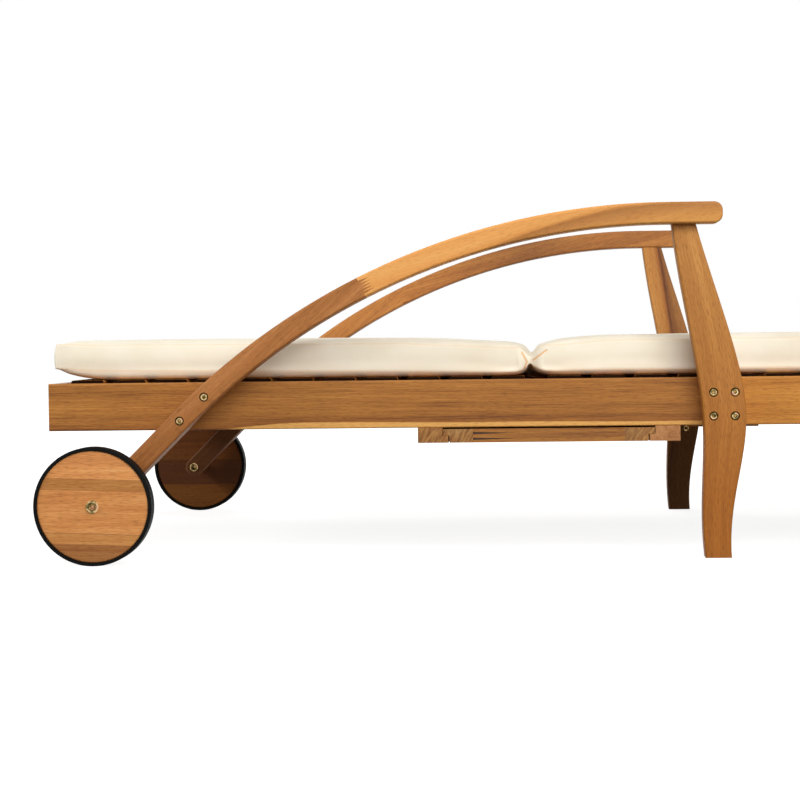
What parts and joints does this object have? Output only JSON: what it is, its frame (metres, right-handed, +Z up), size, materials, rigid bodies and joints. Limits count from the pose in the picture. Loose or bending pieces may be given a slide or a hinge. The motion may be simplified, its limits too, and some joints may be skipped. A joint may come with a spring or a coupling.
{
  "type": "double chaise lounger",
  "caption": "Wooden chaise lounger for two with curved arms, wheels at the head end, reclining slatted backrests, slide-out side trays and long cushions.",
  "frame": {"origin": "on the ground, under the middle of the whole lounger", "axes": "+X towards the foot end, +Y across the frame to the far side, +Z up"},
  "size_m": [2, 1.3696, 0.5815],
  "materials": {
    "oiled_hardwood": "oiled, satin",
    "cushion_canvas": "woven canvas, matt",
    "tyre_rubber": "matt black rubber",
    "zinc_steel": "yellow zinc plated"
  },
  "bodies": {
    "frame": {"arm_bolts": "zinc_steel", "arm_lower_far": "oiled_hardwood", "arm_lower_near": "oiled_hardwood", "arm_sleeve_nuts": "zinc_steel", "arm_upper_far": "oiled_hardwood", "arm_upper_near": "oiled_hardwood", "backrest_rest_blocks": "oiled_hardwood", "centre_rail": "oiled_hardwood", "foot_leg_far": "oiled_hardwood", "foot_leg_near": "oiled_hardwood", "foot_rail": "oiled_hardwood", "head_rail": "oiled_hardwood", "hinge_fixings": "zinc_steel", "leg_bolts": "zinc_steel", "leg_nuts": "zinc_steel", "mid_leg_far": "oiled_hardwood", "mid_leg_near": "oiled_hardwood", "packing_blocks": "oiled_hardwood", "rack_bearer": "oiled_hardwood", "racks_far": "oiled_hardwood", "racks_near": "oiled_hardwood", "screw_eyes": "zinc_steel", "seat_bearer": "oiled_hardwood", "seat_cushion_far": "cushion_canvas", "seat_cushion_near": "cushion_canvas", "seat_ledgers": "oiled_hardwood", "seat_slats": "oiled_hardwood", "side_rail_foot_far": "oiled_hardwood", "side_rail_foot_near": "oiled_hardwood", "side_rail_head_far": "oiled_hardwood", "side_rail_head_near": "oiled_hardwood", "tray_guide_foot": "oiled_hardwood", "tray_guide_head": "oiled_hardwood", "wheel_fixings": "zinc_steel"},
    "backrest_near": {"backrest_stile_outer_near": "oiled_hardwood", "backrest_stile_inner_near": "oiled_hardwood", "backrest_bars_near": "oiled_hardwood", "backrest_slats_near": "oiled_hardwood", "prop_pins_near": "zinc_steel", "back_cushion_near": "cushion_canvas"},
    "prop_near": {"prop_legs_near": "oiled_hardwood", "prop_foot_bar_near": "oiled_hardwood"},
    "tray_near": {"tray_runners_near": "oiled_hardwood", "tray_boards_near": "oiled_hardwood", "tray_stop_near": "oiled_hardwood"},
    "wheel_near": {"wheel_disc_near": "oiled_hardwood", "wheel_tyre_near": "tyre_rubber"},
    "backrest_far": {"backrest_stile_outer_far": "oiled_hardwood", "backrest_stile_inner_far": "oiled_hardwood", "backrest_bars_far": "oiled_hardwood", "backrest_slats_far": "oiled_hardwood", "prop_pins_far": "zinc_steel", "back_cushion_far": "cushion_canvas"},
    "prop_far": {"prop_legs_far": "oiled_hardwood", "prop_foot_bar_far": "oiled_hardwood"},
    "tray_far": {"tray_runners_far": "oiled_hardwood", "tray_boards_far": "oiled_hardwood", "tray_stop_far": "oiled_hardwood"},
    "wheel_far": {"wheel_disc_far": "oiled_hardwood", "wheel_tyre_far": "tyre_rubber"}
  },
  "joints": [
    {"name": "recline_near", "type": "hinge", "parent": "frame", "child": "backrest_near", "pos_m": [-0.192, -0.272, 0.268], "axis": [0, 1, 0], "range_deg": [0, 65], "deforming": ["back_cushion_near"]},
    {"name": "prop_fold_near", "type": "hinge", "parent": "backrest_near", "child": "prop_near", "pos_m": [-0.532, -0.272, 0.268], "axis": [0, 1, 0], "range_deg": [-130, 0]},
    {"name": "tray_slide_near", "type": "slide", "parent": "frame", "child": "tray_near", "axis": [0, -1, 0], "range_m": [0, 0.32]},
    {"name": "wheel_spin_near", "type": "hinge", "parent": "frame", "child": "wheel_near", "pos_m": [-0.903, -0.6625, 0.097], "axis": [0, 1, 0], "continuous": true},
    {"name": "recline_far", "type": "hinge", "parent": "frame", "child": "backrest_far", "pos_m": [-0.192, 0.272, 0.268], "axis": [0, 1, 0], "range_deg": [0, 65], "deforming": ["back_cushion_far"]},
    {"name": "prop_fold_far", "type": "hinge", "parent": "backrest_far", "child": "prop_far", "pos_m": [-0.532, 0.272, 0.268], "axis": [0, 1, 0], "range_deg": [-130, 0]},
    {"name": "tray_slide_far", "type": "slide", "parent": "frame", "child": "tray_far", "axis": [0, 1, 0], "range_m": [0, 0.32]},
    {"name": "wheel_spin_far", "type": "hinge", "parent": "frame", "child": "wheel_far", "pos_m": [-0.903, 0.6625, 0.097], "axis": [0, 1, 0], "continuous": true}
  ],
  "couplings": [
    {"joint": "prop_fold_near", "follows": "recline_near", "ratio": -2},
    {"joint": "prop_fold_far", "follows": "recline_far", "ratio": -2}
  ]
}
